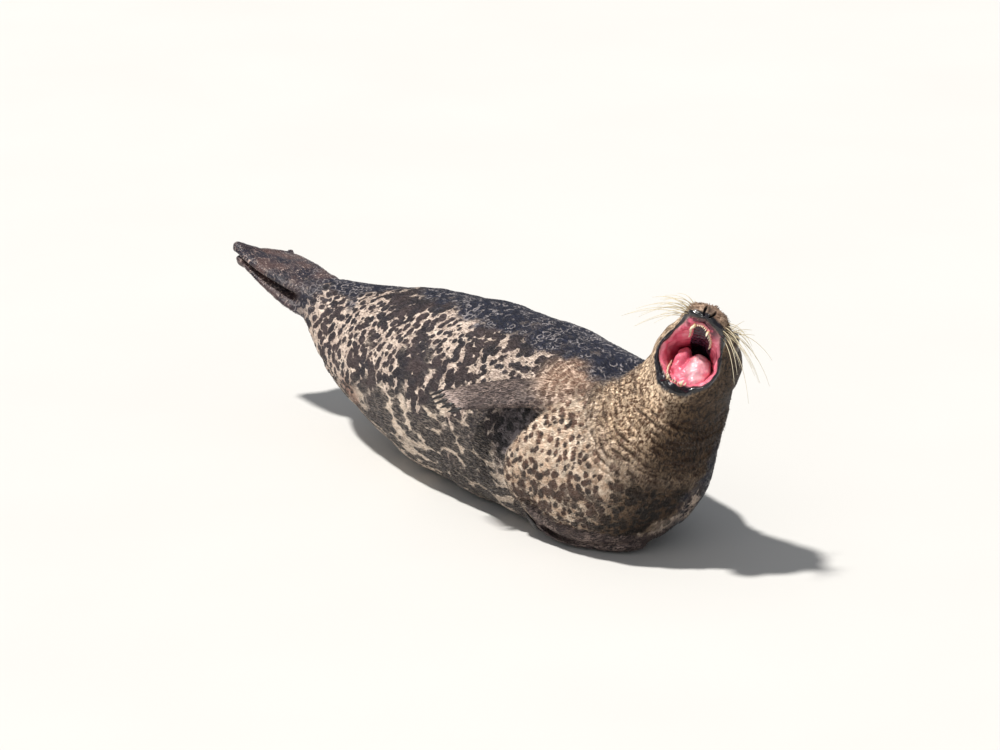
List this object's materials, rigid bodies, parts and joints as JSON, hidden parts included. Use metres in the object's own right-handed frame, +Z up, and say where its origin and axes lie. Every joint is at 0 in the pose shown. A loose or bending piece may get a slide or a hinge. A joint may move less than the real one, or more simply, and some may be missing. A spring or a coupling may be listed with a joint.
{
  "type": "harbor seal",
  "caption": "Life-size harbor seal lying on its left side, head and hind flippers raised, mouth wide open, spotted short coat.",
  "frame": {"origin": "middle of the underside of the box round the whole animal, on the floor it lies on", "axes": "+X towards the head, +Z up, -Y the side that the belly and both foreflippers face"},
  "size_m": [1.4948, 0.4884, 0.5402],
  "materials": {
    "coat": "short flat-lying fur, dark brown-grey blotches on a pale tan network",
    "flipper_hide": "thin dark hide with very short hair, a soft sheen",
    "claw": "smooth black horn",
    "eye": "wet, dark and clear",
    "gum": "wet gum with cream-coloured teeth",
    "tongue": "wet, pink and finely rough"
  },
  "bodies": {
    "root": {"tail": "coat", "rump": "coat", "belly": "coat", "chest": "coat", "neck": "coat", "head": "coat", "lower_jaw": "coat", "right_foreflipper": "flipper_hide", "right_foreflipper_claw_1": "claw", "right_foreflipper_claw_2": "claw", "right_foreflipper_claw_3": "claw", "right_foreflipper_claw_4": "claw", "right_foreflipper_claw_5": "claw", "right_hind_flipper": "flipper_hide", "right_hind_flipper_claw_1": "claw", "right_hind_flipper_claw_2": "claw", "right_hind_flipper_claw_3": "claw", "right_hind_flipper_claw_4": "claw", "right_hind_flipper_claw_5": "claw", "left_foreflipper": "flipper_hide", "left_foreflipper_claw_1": "claw", "left_foreflipper_claw_2": "claw", "left_foreflipper_claw_3": "claw", "left_foreflipper_claw_4": "claw", "left_foreflipper_claw_5": "claw", "left_hind_flipper": "flipper_hide", "left_hind_flipper_claw_1": "claw", "left_hind_flipper_claw_2": "claw", "left_hind_flipper_claw_3": "claw", "left_hind_flipper_claw_4": "claw", "left_hind_flipper_claw_5": "claw", "right_eye": "eye", "left_eye": "eye", "upper_gums": "gum", "lower_gums": "gum", "tongue": "tongue"}
  },
  "joints": []
}
